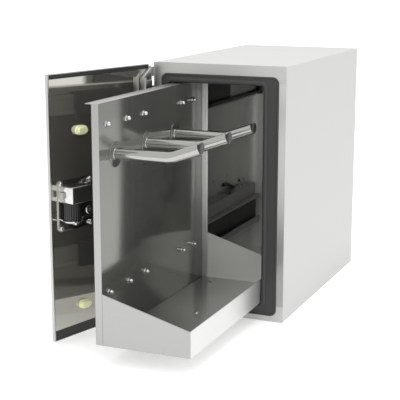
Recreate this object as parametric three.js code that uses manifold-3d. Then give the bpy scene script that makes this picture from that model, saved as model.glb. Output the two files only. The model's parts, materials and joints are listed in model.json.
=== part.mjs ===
// Pull-out trash compactor: a free-standing cabinet with a side-hung door, a bag carriage on two
// telescopic slides, and a press plate driven along the chamber by a lead screw.
// Millimetres, +Z up. Origin at the middle of the cabinet's underside. The door side faces -Y.
import * as THREE from "three";
import { mergeVertices } from "three/addons/utils/BufferGeometryUtils.js";
import Module from "manifold-3d";

const wasm = await Module();
wasm.setup();

// ---------------------------------------------------------------- driving dimensions
const GAP = 0.3; // between parts that touch
const CABINET = { width: 300, depth: 541, height: 548 };
const SHEET = 1.5; // shell, liner and carriage sheet
const BASE_PLATE_THICK = 5;
const FRAME_THICK = 1.7;
const FRAME_SEAM = 34.5; // height of the top and bottom frame bands
const RING = { left: -132, right: 134.6, bottom: 12, top: 525.6, radius: 14 }; // frame's inner outline
const DOORWAY = { left: -115, right: 100.7, bottom: 37, top: 506.4, radius: 5 }; // clear opening
const SEAL_LIP = 11; // width of the raised inner lip of the seal
const CAVITY = { half: 137, bottom: 20, top: 532, rear: 246, corner: 40 };
const LINER_FRONT = -259;

const TRAVEL = 378; // carriage, shut to fully out
const CARRIAGE = {
  front: -266.8, // shut
  length: 484.5,
  plate: -83.5, // tray face of the side plate
  right: 99,
  bottom: 38.9,
  top: 503.8,
};
const TOP_FLANGE = 27; // turned outwards
const FRONT_FLANGE = 13.7; // turned outwards
const REAR_FLANGE = 13.1; // turned into the tray
const TRAY = { floor: 49.5, side: 91.4, frontLeft: 141.5, rearLeft: 154, rearRight: 103, hem: 12 };
const DRAIN = { x: -48.6, station: 446, radius: 4 };
const HOOK = { first: 64.6, pitch: 136.9, height: 401, radius: 11, straight: 104, rise: 19.5, tip: 63 };
const HOOK_BEND = 22;
const HOOK_FLANGE = { radius: 25, thick: 1 };
const SCREW_STATIONS = [29, 112, 186, 370, 430]; // from the carriage's front
const SCREW_ROWS = { upper: 463.7, lower: 138.9 };
const PLATE_SCREW = { shank: 2.2, hole: 2.7, head: 4.4, headLength: 9, strip: 4.8, stripBack: -87.5 };

const SLIDE = {
  height: 62,
  length: 480,
  front: -250,
  back: -101,
  lip: -88,
  mid: -98.5,
  midLip: -89,
  inner: -95,
  face: -85.3,
};
const SLIDE_ROWS = { upper: 463.7, lower: 136 };
const BRACKET = { back: -136.7, face: -101.3, thick: 2 };
const BRACKET_SPAN = { upper: [425, 498], lower: [88, 196] };
const BRACKET_HOLE = { x: -121, y: 70, radius: 12 };

const RAM = { left: -66, right: 88, bottom: 160, top: 380, face: 226, thick: 6, rib: 8 };
const RAM_RIBS = [200, 270, 340];
const SCREW = { x: 119, z: 270, radius: 7 };
const ROD = { radius: 6, z: [200, 340] };
const END_PLATE = { left: 103, front: -166, rear: 214, thick: 8, bottom: 128, top: 362 };
const PRESS_BLOCK = { left: 106, right: 133, front: 160, rear: 208, bottom: 184, top: 356 };
const PRESS_ARM = { left: 94, right: 100, bottom: 190, top: 350, setback: 6 };
const NUT_RADIUS = 10;
const BUSH_RADIUS = 9.5;
const MOTOR = { z: 150, radius: 14.5, length: 74, gearbox: 28, neck: 5, shaft: 4 };
const PULLEY = { radius: 11, width: 8, teeth: 14, toothDepth: 1.2 };
const BELT_THICK = 1.6;

const PIN = { x: -156, y: -281 }; // door hinge axis
const DOOR_OPEN = 105; // degrees, at rest
const DOOR = { left: 6.2, right: 304, bottom: 3, top: 544.5, outer: -3.4, inner: 3.6, skin: 1.2 };
const DOOR_STRIP = { bottom: 22, top: 9.5 };
const HINGE_SPAN = { lower: 12, upper: 478 };
const HINGE = { height: 60, radius: 5.2, pin: 2.5, leaf: 1.6 };
const FREE_EDGE = 1.8; // width of the door pan's stiffening fold at its free edge
const LATCH = { left: 190, right: 286, bottom: 228, top: 332, radius: 8, plate: 2.5, screwInset: 7 };
const LATCH_ARM = 34; // height of the arm above the roller
const ROLLER = { x: 266, z: 272, radius: 17.5, height: 34, ribs: 14, ribDepth: 1.6, axle: 3 };
const HANDLE = { rose: 22, roseLength: 10, half: 11, drop: 92, rise: 14, thick: 11, neck: 12, boss: 8.5, bossAt: 10 };
const SPINDLE = { x: 215, z: 266, radius: 5 };
const BOLT = { z: 306, size: 12, left: 226, length: 64, throw: 10 };
const BUMPERS = { x: 219, upper: 428, lower: 65 };
const BUMPER = { halfWidth: 15, halfHeight: 9, base: 8, height: 11, step: 2.5 };
const BUTTON = { x: 265, z: 480, radius: 11, throw: 3, length: 6 };

const INLET = { x: 112, z: 70, halfWidth: 13.5, halfHeight: 9.5, depth: 20 };
const INLET_FLANGE = { halfWidth: 20, halfHeight: 14, thick: 3 };
const INLET_SOCKET = { halfWidth: 11, halfHeight: 7, depth: 14, bladePitch: 6 };
const CONTROL = { left: 104, right: 135.5, bottom: 24, top: 116, front: -150, rear: 60, radius: 4 };

// ---------------------------------------------------------------- materials
const metal = (color, roughness, metalness = 1) =>
  new THREE.MeshStandardMaterial({ color, roughness, metalness });
const LOOK = {
  painted: metal(0xd9d9d6, 0.55, 0.1),
  satin: metal(0xb9b9b6, 0.38),
  polished: metal(0x6f706b, 0.12),
  chrome: metal(0xdedede, 0.08),
  steel: metal(0x8a8b8a, 0.35),
  black: metal(0x1a1a19, 0.6, 0),
  rubber: metal(0x474745, 0.75, 0),
  foam: metal(0xe6dcae, 0.95, 0),
  bumper: metal(0xe2ecae, 0.4, 0),
  brass: metal(0xb08d4a, 0.35),
};

// ---------------------------------------------------------------- solids
function solid(geometry) {
  const bare = geometry.index ? geometry.toNonIndexed() : geometry.clone();
  const only = new THREE.BufferGeometry();
  only.setAttribute("position", bare.getAttribute("position"));
  const merged = mergeVertices(only, 1e-4);
  return new wasm.Manifold(
    new wasm.Mesh({
      numProp: 3,
      vertProperties: merged.attributes.position.array,
      triVerts: new Uint32Array(merged.index.array),
    }),
  );
}

function geometryOf(body) {
  const mesh = body.getMesh();
  const g = new THREE.BufferGeometry();
  g.setAttribute("position", new THREE.BufferAttribute(mesh.vertProperties, 3));
  g.setIndex(new THREE.BufferAttribute(mesh.triVerts, 1));
  g.computeVertexNormals();
  return g;
}

const join = (first, ...rest) => rest.reduce((sum, s) => sum.add(s), first);
const cut = (first, ...rest) => rest.reduce((left, s) => left.subtract(s), first);

// Box between two corners.
function box([x0, y0, z0], [x1, y1, z1]) {
  const g = new THREE.BoxGeometry(x1 - x0, y1 - y0, z1 - z0);
  g.translate((x0 + x1) / 2, (y0 + y1) / 2, (z0 + z1) / 2);
  return solid(g);
}

// Cylinder along an axis, from one end point, with its length counted along +axis.
function rod(axis, [x, y, z], radius, length, sides = 20) {
  const g = new THREE.CylinderGeometry(radius, radius, length, sides);
  g.translate(0, length / 2, 0);
  if (axis === "x") g.rotateZ(-Math.PI / 2);
  if (axis === "z") g.rotateX(Math.PI / 2);
  g.translate(x, y, z);
  return solid(g);
}

// Flat outline in X and Z, given thickness from y0 to y1.
function slab(shape, y0, y1, curveSegments = 4) {
  const g = new THREE.ExtrudeGeometry(shape, { depth: y1 - y0, bevelEnabled: false, curveSegments });
  g.rotateX(Math.PI / 2);
  g.translate(0, y1, 0);
  return solid(g);
}

// Flat outline in X and Y, standing from z0 to z1.
function column(shape, z0, z1, curveSegments = 8) {
  const g = new THREE.ExtrudeGeometry(shape, { depth: z1 - z0, bevelEnabled: false, curveSegments });
  g.translate(0, 0, z0);
  return solid(g);
}

function polygon(points) {
  return new THREE.Shape(points.map(([x, y]) => new THREE.Vector2(x, y)));
}

function roundedRect(x0, y0, x1, y1, r) {
  const s = new THREE.Shape();
  s.moveTo(x0 + r, y0);
  s.lineTo(x1 - r, y0);
  s.absarc(x1 - r, y0 + r, r, -Math.PI / 2, 0, false);
  s.lineTo(x1, y1 - r);
  s.absarc(x1 - r, y1 - r, r, 0, Math.PI / 2, false);
  s.lineTo(x0 + r, y1);
  s.absarc(x0 + r, y1 - r, r, Math.PI / 2, Math.PI, false);
  s.lineTo(x0, y0 + r);
  s.absarc(x0 + r, y0 + r, r, Math.PI, Math.PI * 1.5, false);
  return s;
}

function outline(o, grow = 0) {
  const r = Math.max(o.radius + grow, 1);
  return roundedRect(o.left - grow, o.bottom - grow, o.right + grow, o.top + grow, r);
}

function mesh(name, body, material) {
  const m = new THREE.Mesh(geometryOf(body), material);
  m.name = name;
  return m;
}

// ---------------------------------------------------------------- cabinet
const half = CABINET.width / 2;
const frontY = -CABINET.depth / 2;
const rearY = CABINET.depth / 2;

function cabinetShell() {
  const y0 = frontY + FRAME_THICK + GAP;
  const y1 = rearY - SHEET - GAP;
  const outer = box([-half, y0, 0], [half, y1, CABINET.height]);
  const inner = box([-half + SHEET, y0 - 1, -1], [half - SHEET, y1 + 1, CABINET.height - SHEET]);
  return mesh("outer_shell", cut(outer, inner), LOOK.painted);
}

function basePlate() {
  const x = half - SHEET - GAP;
  const y0 = frontY + FRAME_THICK + GAP;
  return mesh("base_plate", box([-x, y0, 0], [x, rearY - SHEET - GAP, BASE_PLATE_THICK]), LOOK.steel);
}

// The inlet body's rectangle, grown all round, from y0 to y1.
function inletBlock(grow, y0, y1) {
  const w = INLET.halfWidth + grow;
  const h = INLET.halfHeight + grow;
  return box([INLET.x - w, y0, INLET.z - h], [INLET.x + w, y1, INLET.z + h]);
}

function rearPanel() {
  const panel = box([-half, rearY - SHEET, 0], [half, rearY, CABINET.height]);
  return mesh("rear_panel", cut(panel, inletBlock(GAP, rearY - 3, rearY + 1)), LOOK.painted);
}

function frameBands() {
  const ring = cut(
    box([-half, frontY, 0], [half, frontY + FRAME_THICK, CABINET.height]),
    slab(outline(RING), frontY - 1, frontY + 3),
  );
  const seamLow = FRAME_SEAM;
  const seamHigh = CABINET.height - FRAME_SEAM;
  const beyond = half + 1;
  const piece = (x0, x1, z0, z1) => ring.intersect(box([x0, frontY - 1, z0], [x1, frontY + 3, z1]));
  const side = [seamLow + GAP, seamHigh - GAP];
  return [
    mesh("front_frame_top", piece(-beyond, beyond, seamHigh, CABINET.height + 1), LOOK.satin),
    mesh("front_frame_bottom", piece(-beyond, beyond, -1, seamLow), LOOK.satin),
    mesh("front_frame_left", piece(-beyond, 0, ...side), LOOK.satin),
    mesh("front_frame_right", piece(0, beyond, ...side), LOOK.satin),
  ];
}

// Chamber lining: a front flange round the doorway, then walls with a rounded corner behind the slides.
function chamberPlan(grow) {
  const { half: w, rear, corner } = CAVITY;
  const r = corner + grow;
  const s = new THREE.Shape();
  s.moveTo(-w - grow, LINER_FRONT - grow);
  s.lineTo(w + grow, LINER_FRONT - grow);
  s.lineTo(w + grow, rear + grow);
  s.lineTo(-w + corner, rear + grow);
  s.absarc(-w + corner, rear - corner, r, Math.PI / 2, Math.PI, false);
  return s;
}

function liner() {
  const w = half - SHEET - GAP;
  const outer = column(chamberPlan(SHEET), CAVITY.bottom - SHEET, CAVITY.top + SHEET);
  const flange = box(
    [-w, LINER_FRONT - SHEET, BASE_PLATE_THICK + GAP],
    [w, LINER_FRONT, CABINET.height - SHEET - GAP],
  );
  const body = cut(
    join(outer, flange),
    column(chamberPlan(0), CAVITY.bottom, CAVITY.top),
    slab(outline(DOORWAY), LINER_FRONT - 3, LINER_FRONT + 1),
  );
  return mesh("chamber_liner", body, LOOK.satin);
}

function insulation() {
  const w = half - SHEET - GAP;
  const block = box(
    [-w, LINER_FRONT + GAP, BASE_PLATE_THICK + GAP],
    [w, rearY - SHEET - GAP, CABINET.height - SHEET - GAP],
  );
  const room = column(chamberPlan(SHEET + GAP), CAVITY.bottom - SHEET - GAP, CAVITY.top + SHEET + GAP);
  const inletRoom = inletBlock(1.5, CAVITY.rear - 46, rearY + 29.5);
  return mesh("insulation_jacket", cut(block, room, inletRoom), LOOK.foam);
}

function doorSeal() {
  const back = LINER_FRONT - SHEET - GAP;
  const low = slab(outline(RING, -GAP), frontY - 1.5, back);
  const lip = slab(outline(DOORWAY, SEAL_LIP), frontY - 4.5, back);
  const hole = slab(outline(DOORWAY), frontY - 9, back + 1);
  return mesh("door_seal", cut(join(low, lip), hole), LOOK.rubber);
}

// ---------------------------------------------------------------- slides
function slideBracket(row) {
  const [z0, z1] = BRACKET_SPAN[row];
  const y0 = SLIDE.front;
  const y1 = CAVITY.rear - CAVITY.corner / 2 + 2;
  const outer = box([BRACKET.back, y0, z0], [BRACKET.face, y1, z1]);
  const t = BRACKET.thick;
  const inner = box([BRACKET.back - 1, y0 - 1, z0 + t], [BRACKET.face - t, y1 + 1, z1 - t]);
  const clear = column(chamberPlan(-GAP), z0 - 1, z1 + 1);
  let body = cut(outer, inner);
  const { x, y, radius } = BRACKET_HOLE;
  if (row === "lower") body = cut(body, rod("z", [x, y, z1 - 2 * t], radius, 4 * t));
  return mesh("slide_bracket_" + row, body.intersect(clear), LOOK.steel);
}

function channel(x0, x1, z, height, y0, y1, t = SHEET) {
  const outer = box([x0, y0, z - height / 2], [x1, y1, z + height / 2]);
  const inner = box([x0 + t, y0 - 1, z - height / 2 + t], [x1 + 1, y1 + 1, z + height / 2 - t]);
  return cut(outer, inner);
}

function slideOuter(row) {
  const z = SLIDE_ROWS[row];
  const y1 = SLIDE.front + SLIDE.length;
  const body = channel(SLIDE.back, SLIDE.lip, z, SLIDE.height, SLIDE.front, y1);
  return mesh("slide_outer_" + row, body, LOOK.black);
}

function slideMiddle(row) {
  const z = SLIDE_ROWS[row];
  const y1 = SLIDE.front + SLIDE.length;
  const body = channel(SLIDE.mid, SLIDE.midLip, z, SLIDE.height - 8, SLIDE.front, y1);
  return mesh("slide_middle_" + row, body, LOOK.black);
}

function slideInner(row) {
  const z = SLIDE_ROWS[row];
  const y1 = SLIDE.front + SLIDE.length;
  const h = SLIDE.height / 2 - 10;
  const body = box([SLIDE.inner, SLIDE.front, z - h], [SLIDE.face, y1, z + h]);
  const groove = box([SLIDE.inner - 1, SLIDE.front - 1, z - h + 8], [SLIDE.inner + 4, y1 + 1, z + h - 8]);
  const [stripFront, stripRear] = screwStripEnds(1);
  const zs = SCREW_ROWS[row];
  const reach = PLATE_SCREW.strip / 2 + GAP;
  const pocket = box(
    [PLATE_SCREW.stripBack - GAP, stripFront, zs - reach],
    [SLIDE.face + 1, stripRear, zs + reach],
  );
  return mesh("slide_inner_" + row, cut(body, groove, pocket), LOOK.steel);
}

function screwStripEnds(grow) {
  const margin = 8 + grow;
  return [SCREW_STATIONS[0] - margin, SCREW_STATIONS[4] + margin].map((at) => CARRIAGE.front + at);
}

// Tapped strip behind the side plate, with its five screws; the heads stand inside the tray.
function slideScrews(row) {
  const z = SCREW_ROWS[row];
  const { shank, head, headLength, strip, stripBack } = PLATE_SCREW;
  const x = CARRIAGE.plate - SHEET;
  const [y0, y1] = screwStripEnds(0);
  const tapped = box([stripBack, y0, z - strip / 2], [x - GAP, y1, z + strip / 2]);
  const screws = SCREW_STATIONS.map((at) => {
    const y = CARRIAGE.front + at;
    const start = stripBack + 0.1;
    const stem = rod("x", [start, y, z], shank, CARRIAGE.plate + 1 - start, 8);
    const pan = rod("x", [CARRIAGE.plate + GAP, y, z], head, headLength + GAP, 12);
    return join(stem, pan);
  });
  return mesh("slide_screws_" + row, join(tapped, ...screws), LOOK.chrome);
}

// ---------------------------------------------------------------- carriage
function sidePlate() {
  const { front, length, plate, bottom, top } = CARRIAGE;
  const x0 = plate - SHEET;
  const y1 = front + length;
  const sheet = box([x0, front, bottom], [plate, y1, top]);
  const topFlange = box([plate - TOP_FLANGE - SHEET, front, top - SHEET], [plate, y1, top]);
  const frontFlange = box([plate - FRONT_FLANGE - SHEET, front, bottom], [plate, front + SHEET, top]);
  const rearFlange = box([x0, y1 - SHEET, bottom], [plate + REAR_FLANGE, y1, top]);
  const holes = Object.values(SCREW_ROWS).flatMap((z) =>
    SCREW_STATIONS.map((at) => rod("x", [x0 - 1, front + at, z], PLATE_SCREW.hole, 4, 8)),
  );
  const folded = join(sheet, topFlange, frontFlange, rearFlange);
  return mesh("carriage_side_plate", cut(folded, ...holes), LOOK.satin);
}

function trayFloor() {
  const { front, length, plate, right } = CARRIAGE;
  const y0 = front + SHEET + GAP;
  const y1 = front + length - SHEET - GAP;
  const x1 = right - SHEET / 2;
  const x0 = plate + GAP;
  const z = TRAY.floor;
  const top = box([x0, y0, z - SHEET], [x1, y1, z]);
  const skirtLeft = box([x0, y0, CARRIAGE.bottom], [x0 + SHEET, y1, z]);
  const side = box([right - SHEET, y0, CARRIAGE.bottom], [right, y1, TRAY.side]);
  const hem = box([right - TRAY.hem, y0, CARRIAGE.bottom], [right, y1, CARRIAGE.bottom + SHEET]);
  const drain = rod("z", [DRAIN.x, front + DRAIN.station, z - 4], DRAIN.radius, 8);
  return mesh("tray_floor", cut(join(top, skirtLeft, side, hem), drain), LOOK.polished);
}

function trayPanel(name, y0, leftZ, rightZ, fromX) {
  const { right, bottom } = CARRIAGE;
  const shape = polygon([
    [fromX, bottom],
    [right, bottom],
    [right, rightZ],
    [fromX, leftZ],
  ]);
  return mesh(name, slab(shape, y0, y0 + SHEET), LOOK.satin);
}

// Bag hook: a tube from a welded flange, straight across the tray, then bent gently upward.
function hookPath() {
  const a = (HOOK.rise * Math.PI) / 180;
  const start = new THREE.Vector3(0, 0, 0);
  const corner = new THREE.Vector3(HOOK.straight + HOOK_BEND / 2, 0, 0);
  const before = new THREE.Vector3(HOOK.straight, 0, 0);
  const along = new THREE.Vector3(Math.cos(a), 0, Math.sin(a));
  const after = corner.clone().addScaledVector(along, HOOK_BEND / 2);
  const end = corner.clone().addScaledVector(along, HOOK.tip);
  const path = new THREE.CurvePath();
  path.add(new THREE.LineCurve3(start, before));
  path.add(new THREE.QuadraticBezierCurve3(before, corner, after));
  path.add(new THREE.LineCurve3(after, end));
  return { path, end, a };
}

function hook(index) {
  const { path } = hookPath();
  const circle = new THREE.Shape();
  circle.absarc(0, 0, HOOK.radius, 0, Math.PI * 2, false);
  const g = new THREE.ExtrudeGeometry(circle, {
    steps: 20,
    extrudePath: path,
    bevelEnabled: false,
    curveSegments: 8,
  });
  const flange = rod("x", [0, 0, 0], HOOK_FLANGE.radius, HOOK_FLANGE.thick, 32);
  const m = mesh("bag_hook_" + (index + 1), join(solid(g), flange), LOOK.chrome);
  placeOnHook(m, index);
  return m;
}

function hookCap(index) {
  const { end, a } = hookPath();
  const disc = new THREE.CylinderGeometry(HOOK.radius - 0.2, HOOK.radius + 0.3, 5, 24);
  disc.translate(0, 2.5 + GAP, 0);
  disc.rotateZ(-Math.PI / 2);
  disc.rotateY(-a);
  disc.translate(end.x, end.y, end.z);
  const m = mesh("hook_cap_" + (index + 1), solid(disc), LOOK.black);
  placeOnHook(m, index);
  return m;
}

function placeOnHook(m, index) {
  m.position.set(CARRIAGE.plate + GAP, CARRIAGE.front + HOOK.first + index * HOOK.pitch, HOOK.height);
}

// ---------------------------------------------------------------- press drive
function endPlate(name, y0) {
  const { bottom, top, thick } = END_PLATE;
  const plate = box([END_PLATE.left, y0, bottom], [CAVITY.half - GAP, y0 + thick, top]);
  const screwHole = rod("y", [SCREW.x, y0 - 1, SCREW.z], SCREW.radius + GAP, thick + 2);
  const rodHoles = ROD.z.map((z) => rod("y", [SCREW.x, y0 - 1, z], ROD.radius + GAP, thick + 2));
  const motorHole = rod("y", [SCREW.x, y0 - 1, MOTOR.z], MOTOR.shaft + 0.4, thick + 2);
  return mesh(name, cut(plate, screwHole, ...rodHoles, motorHole), LOOK.steel);
}

function guideRod(index) {
  const y0 = END_PLATE.front;
  const length = END_PLATE.rear + END_PLATE.thick - y0;
  const body = rod("y", [SCREW.x, y0, ROD.z[index]], ROD.radius, length);
  return mesh("guide_rod_" + ["lower", "upper"][index], body, LOOK.chrome);
}

function leadScrew() {
  const y0 = END_PLATE.front;
  const y1 = END_PLATE.rear + END_PLATE.thick + PULLEY.width + 4;
  const shaft = rod("y", [SCREW.x, y0, SCREW.z], SCREW.radius, y1 - y0, 16);
  return mesh("lead_screw", join(shaft, pulley(SCREW.z)), LOOK.steel);
}

function pulley(z) {
  const y0 = END_PLATE.rear + END_PLATE.thick + 2;
  const toothed = new THREE.Shape();
  for (let i = 0; i < PULLEY.teeth * 2; i += 1) {
    const r = PULLEY.radius - (i % 2 ? PULLEY.toothDepth : 0);
    const a = (Math.PI * i) / PULLEY.teeth;
    toothed[i ? "lineTo" : "moveTo"](r * Math.cos(a), r * Math.sin(a));
  }
  toothed.closePath();
  return slab(toothed, 0, PULLEY.width).translate([SCREW.x, y0, z]);
}

function motorPulley() {
  const y0 = END_PLATE.rear - 3;
  const shaft = rod("y", [SCREW.x, y0, MOTOR.z], MOTOR.shaft, PULLEY.width + 16, 20);
  return mesh("motor_pulley", join(shaft, pulley(MOTOR.z)), LOOK.steel);
}

function driveBelt() {
  const y0 = END_PLATE.rear + END_PLATE.thick + 3;
  const r = PULLEY.radius + GAP + 0.1;
  const x = SCREW.x;
  const loop = (grow) => {
    const e = r + grow;
    return roundedRect(x - e, MOTOR.z - e, x + e, SCREW.z + e, e - 0.01);
  };
  const y1 = y0 + PULLEY.width - 2;
  const belt = cut(slab(loop(BELT_THICK), y0, y1, 6), slab(loop(0), y0 - 1, y1 + 1, 6));
  return mesh("drive_belt", belt, LOOK.black);
}

function gearMotor() {
  const y1 = END_PLATE.rear - GAP;
  const { z, radius, length, gearbox, neck } = MOTOR;
  const can = rod("y", [SCREW.x, y1 - length, z], radius, length - gearbox + 2, 32);
  const gears = rod("y", [SCREW.x, y1 - gearbox, z], radius - 1, gearbox, 32);
  const shaftRoom = rod("y", [SCREW.x, y1 - 6, z], neck, 7, 20);
  return mesh("gear_motor", cut(join(can, gears), shaftRoom), LOOK.black);
}

function pressPlate() {
  const { left, right, bottom, top, face, thick, rib } = RAM;
  const plate = slab(roundedRect(left, bottom, right, top, 10), face, face + thick);
  const ribs = RAM_RIBS.map((z) =>
    box([left + 8, face + thick - 1, z - 5], [right - 4, face + thick + rib, z + 5]),
  );
  return mesh("press_plate", join(plate, ...ribs), LOOK.polished);
}

function pressBracket() {
  const { left, right, front, rear, bottom, top } = PRESS_BLOCK;
  const arm = PRESS_ARM;
  const block = box([left, front, bottom], [right, rear, top]);
  const bore = (z, radius) => rod("y", [SCREW.x, front - 1, z], radius + GAP, rear - front + 2);
  const y0 = front + arm.setback;
  const y1 = RAM.face + RAM.thick + RAM.rib;
  const web = box([arm.left, y0, arm.bottom], [left + 1, rear, arm.top]);
  const bar = box([arm.left, y0, arm.bottom], [arm.right, y1, arm.top]);
  const foot = box([RAM.right + GAP, RAM.face, arm.bottom], [arm.right, y1, arm.top]);
  const body = join(block, web, bar, foot);
  const bushBores = ROD.z.map((z) => bore(z, BUSH_RADIUS));
  return mesh("press_bracket", cut(body, bore(SCREW.z, NUT_RADIUS), ...bushBores), LOOK.steel);
}

function bush(name, z, inner, outer) {
  const y0 = PRESS_BLOCK.front + 1;
  const length = PRESS_BLOCK.rear - PRESS_BLOCK.front - 2;
  const body = rod("y", [SCREW.x, y0, z], outer, length);
  const hole = rod("y", [SCREW.x, y0 - 1, z], inner + GAP, length + 2);
  return mesh(name, cut(body, hole), LOOK.brass);
}

// ---------------------------------------------------------------- controls and inlet
function powerInlet() {
  const { x, z } = INLET;
  const rim = INLET_FLANGE;
  const well = INLET_SOCKET;
  const flange = box(
    [x - rim.halfWidth, rearY + GAP, z - rim.halfHeight],
    [x + rim.halfWidth, rearY + rim.thick, z + rim.halfHeight],
  );
  const body = inletBlock(0, rearY - INLET.depth, rearY + 1);
  const outline = roundedRect(
    x - well.halfWidth,
    z - well.halfHeight,
    x + well.halfWidth,
    z + well.halfHeight,
    3,
  );
  const socket = slab(outline, rearY - well.depth, rearY + rim.thick + 2);
  const blades = [-well.bladePitch, 0, well.bladePitch].map((dx) =>
    box([x + dx - 1, rearY - well.depth - 1, z - 2], [x + dx + 1, rearY - 3, z + 2]),
  );
  return mesh("power_inlet", join(cut(join(flange, body), socket), ...blades), LOOK.black);
}

function controlBox() {
  const { left, right, bottom, top, front, rear, radius } = CONTROL;
  return mesh("control_box", slab(roundedRect(left, bottom, right, top, radius), front, rear), LOOK.black);
}

// ---------------------------------------------------------------- hinges
const hingeSeats = Object.entries(HINGE_SPAN);

function knuckle(z0, z1) {
  const g = rod("z", [0, 0, z0], HINGE.radius, z1 - z0, 24);
  return cut(g, rod("z", [0, 0, z0 - 1], HINGE.pin + GAP, z1 - z0 + 2, 20));
}

function cabinetLeaf(row, z) {
  const third = HINGE.height / 3;
  const spans = [
    [z, z + third - GAP],
    [z + 2 * third + GAP, z + HINGE.height],
  ];
  const y1 = frontY - PIN.y - GAP;
  const plate = box([7, y1 - HINGE.leaf, z], [19.5, y1, z + HINGE.height]);
  const arms = spans.map(([a, b]) => box([3.2, 1.5, a], [7.5, y1, b]));
  const barrels = spans.map(([a, b]) => knuckle(a, b));
  const m = mesh("hinge_leaf_cabinet_" + row, join(plate, ...arms, ...barrels), LOOK.satin);
  m.position.set(PIN.x, PIN.y, 0);
  return m;
}

function doorLeaf(row, z) {
  const third = HINGE.height / 3;
  const span = [z + third + GAP, z + 2 * third - GAP];
  const y0 = DOOR.inner + GAP;
  const plate = box([7.4, y0, z + 3], [34, y0 + HINGE.leaf, z + HINGE.height - 3]);
  const arm = box([2.5, y0, span[0]], [8, y0 + HINGE.leaf, span[1]]);
  const pin = rod("z", [0, 0, z - 2], HINGE.pin, HINGE.height + 4, 20);
  const head = rod("z", [0, 0, z + HINGE.height + 0.6], HINGE.pin + 1.2, 2, 20);
  const barrel = rod("z", [0, 0, span[0]], HINGE.radius, span[1] - span[0], 24);
  return mesh("hinge_leaf_door_" + row, join(plate, arm, barrel, pin, head), LOOK.satin);
}

// ---------------------------------------------------------------- door (closed, about its pin)
function doorPan() {
  const { left, right, bottom, top, outer, inner, skin } = DOOR;
  const body = box([left, outer, bottom], [right, inner, top]);
  const hollow = box(
    [left + skin, outer + skin, bottom + skin],
    [right - skin - FREE_EDGE, inner + 1, top - skin],
  );
  const spindleHole = rod("y", [SPINDLE.x, outer - 1, SPINDLE.z], SPINDLE.radius + GAP, 6);
  const buttonHole = rod("y", [BUTTON.x, outer - 1, BUTTON.z], BUTTON.radius + GAP, 6);
  return mesh("door_pan", cut(body, hollow, spindleHole, buttonHole), LOOK.satin);
}

function doorInnerPanel() {
  const { left, right, bottom, top, inner, skin } = DOOR;
  const x0 = left + skin + GAP;
  const x1 = right - skin - FREE_EDGE - GAP;
  const z0 = bottom + DOOR_STRIP.bottom + GAP;
  const z1 = top - DOOR_STRIP.top - GAP;
  const panel = box([x0, inner - skin, z0], [x1, inner, z1]);
  const spindleHole = rod("y", [SPINDLE.x, 0, SPINDLE.z], SPINDLE.radius + GAP, 6);
  return mesh("door_inner_panel", cut(panel, spindleHole), LOOK.polished);
}

function doorStrip(name, z0, z1) {
  const { left, right, outer, inner, skin } = DOOR;
  const x1 = right - skin - FREE_EDGE - GAP;
  const strip = box([left + skin + GAP, outer + skin + GAP, z0], [x1, inner - 1, z1]);
  return mesh(name, strip, LOOK.black);
}

function bumper(row) {
  const z = BUMPERS[row];
  const y0 = DOOR.inner + GAP;
  const { halfWidth, halfHeight, step } = BUMPER;
  const pad = (w, h, from, to) =>
    slab(roundedRect(BUMPERS.x - w, z - h, BUMPERS.x + w, z + h, h - 0.5), y0 + from, y0 + to);
  const base = pad(halfWidth, halfHeight, 0, BUMPER.base);
  const crown = pad(halfWidth - step, halfHeight - step, BUMPER.base - 1, BUMPER.height);
  return mesh("door_bumper_" + row, join(base, crown), LOOK.bumper);
}

const latchFace = DOOR.inner + GAP;
const rollerY = latchFace + LATCH.plate + ROLLER.radius + 1;

// Latch plate with its four screws, the two arms that hold the roller, and the guide of the bolt.
function latchBracket() {
  const y0 = latchFace;
  const { left, right, bottom, top, radius, screwInset } = LATCH;
  const plate = slab(roundedRect(left, bottom, right, top, radius), y0, y0 + LATCH.plate);
  const corners = [left + screwInset, right - screwInset].flatMap((x) =>
    [bottom + screwInset, top - screwInset].map((z) => rod("y", [x, y0 + 1, z], 5, 6, 16)),
  );
  const x0 = ROLLER.x - ROLLER.radius - 4;
  const x1 = ROLLER.x + ROLLER.radius + 1;
  const y1 = y0 + LATCH.plate + 2 * ROLLER.radius + 3;
  const z0 = ROLLER.z - ROLLER.height / 2;
  const z1 = ROLLER.z + ROLLER.height / 2;
  const armTop = z1 + 1 + LATCH_ARM;
  const upper = box([x0, y0 + 1, z1 + 1], [x1, y1, armTop]);
  const lower = box([x0, y0 + 1, z0 - 7], [x1, y1 - 6, z0 - 1]);
  const wayLeft = BOLT.left - BOLT.throw - 2;
  const guide = box([wayLeft - 4, y0 + 1, z1 + 1], [x0 + 1, y0 + 20, armTop]);
  const wayFloor = y0 + 6.5;
  const wayHalf = BOLT.size / 2 + 0.4;
  const rooms = [
    box([x0 - 1, y0 + LATCH.plate, z0 - 1], [x1 + 1, y1 + 1, z1 + 1]),
    rod("y", [SPINDLE.x, y0 - 1, SPINDLE.z], SPINDLE.radius + GAP, 26),
    rod("z", [ROLLER.x, rollerY, z0 - 10], ROLLER.axle + GAP, ROLLER.height + 15.5),
    box([wayLeft, wayFloor, BOLT.z - wayHalf], [x1 + 2, wayFloor + BOLT.size, BOLT.z + wayHalf]),
  ];
  return mesh("latch_bracket", cut(join(plate, ...corners, upper, lower, guide), ...rooms), LOOK.chrome);
}

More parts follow.
